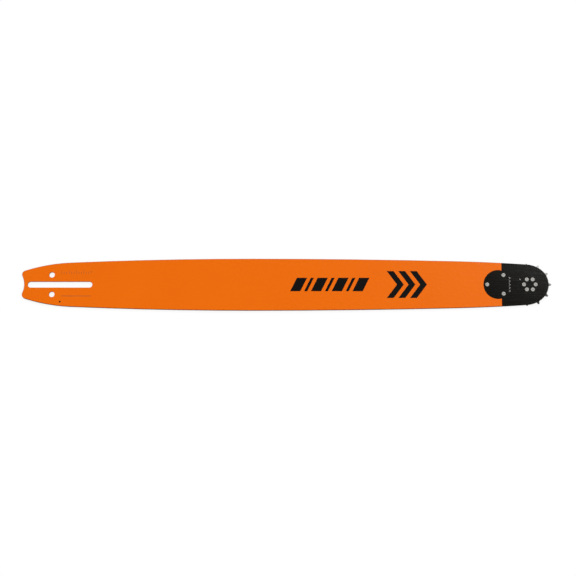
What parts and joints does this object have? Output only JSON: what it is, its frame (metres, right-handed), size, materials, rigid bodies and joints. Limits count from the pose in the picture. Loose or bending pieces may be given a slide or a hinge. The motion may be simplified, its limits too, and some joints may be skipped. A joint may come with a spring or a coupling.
{
  "type": "chainsaw guide bar",
  "caption": "Long flat chainsaw guide bar with a chain groove along its rails, a slotted tail that clamps to the saw, and a riveted nose whose toothed sprocket carries the chain round the tip.",
  "frame": {"origin": "centre of the stud slot, on the back face of the bar", "axes": "+X along the bar from the tail to the nose, +Y across it, +Z through its thickness, out of the front face"},
  "size_m": [0.7775, 0.0768, 0.0048],
  "materials": {
    "bar_paint": "satin",
    "nose_paint": "satin",
    "hardened_steel": "satin",
    "rivet_steel": "satin"
  },
  "bodies": {
    "bar": {"bar_body": "bar_paint", "nose_plate_front": "nose_paint", "nose_plate_back": "nose_paint", "bearing_hub": "hardened_steel", "hub_rivets": "rivet_steel", "nose_rivets": "rivet_steel"},
    "sprocket": {"sprocket": "hardened_steel"},
    "rollers": {"bearing_rollers": "hardened_steel"}
  },
  "joints": [
    {"name": "sprocket_spin", "type": "hinge", "parent": "bar", "child": "sprocket", "pos_m": [0.6901, 0, 0.0024], "axis": [0, 0, 1], "continuous": true},
    {"name": "roller_orbit", "type": "hinge", "parent": "bar", "child": "rollers", "pos_m": [0.6901, 0, 0.0024], "axis": [0, 0, 1], "continuous": true}
  ],
  "couplings": [
    {"joint": "roller_orbit", "follows": "sprocket_spin", "ratio": 0.57941}
  ]
}
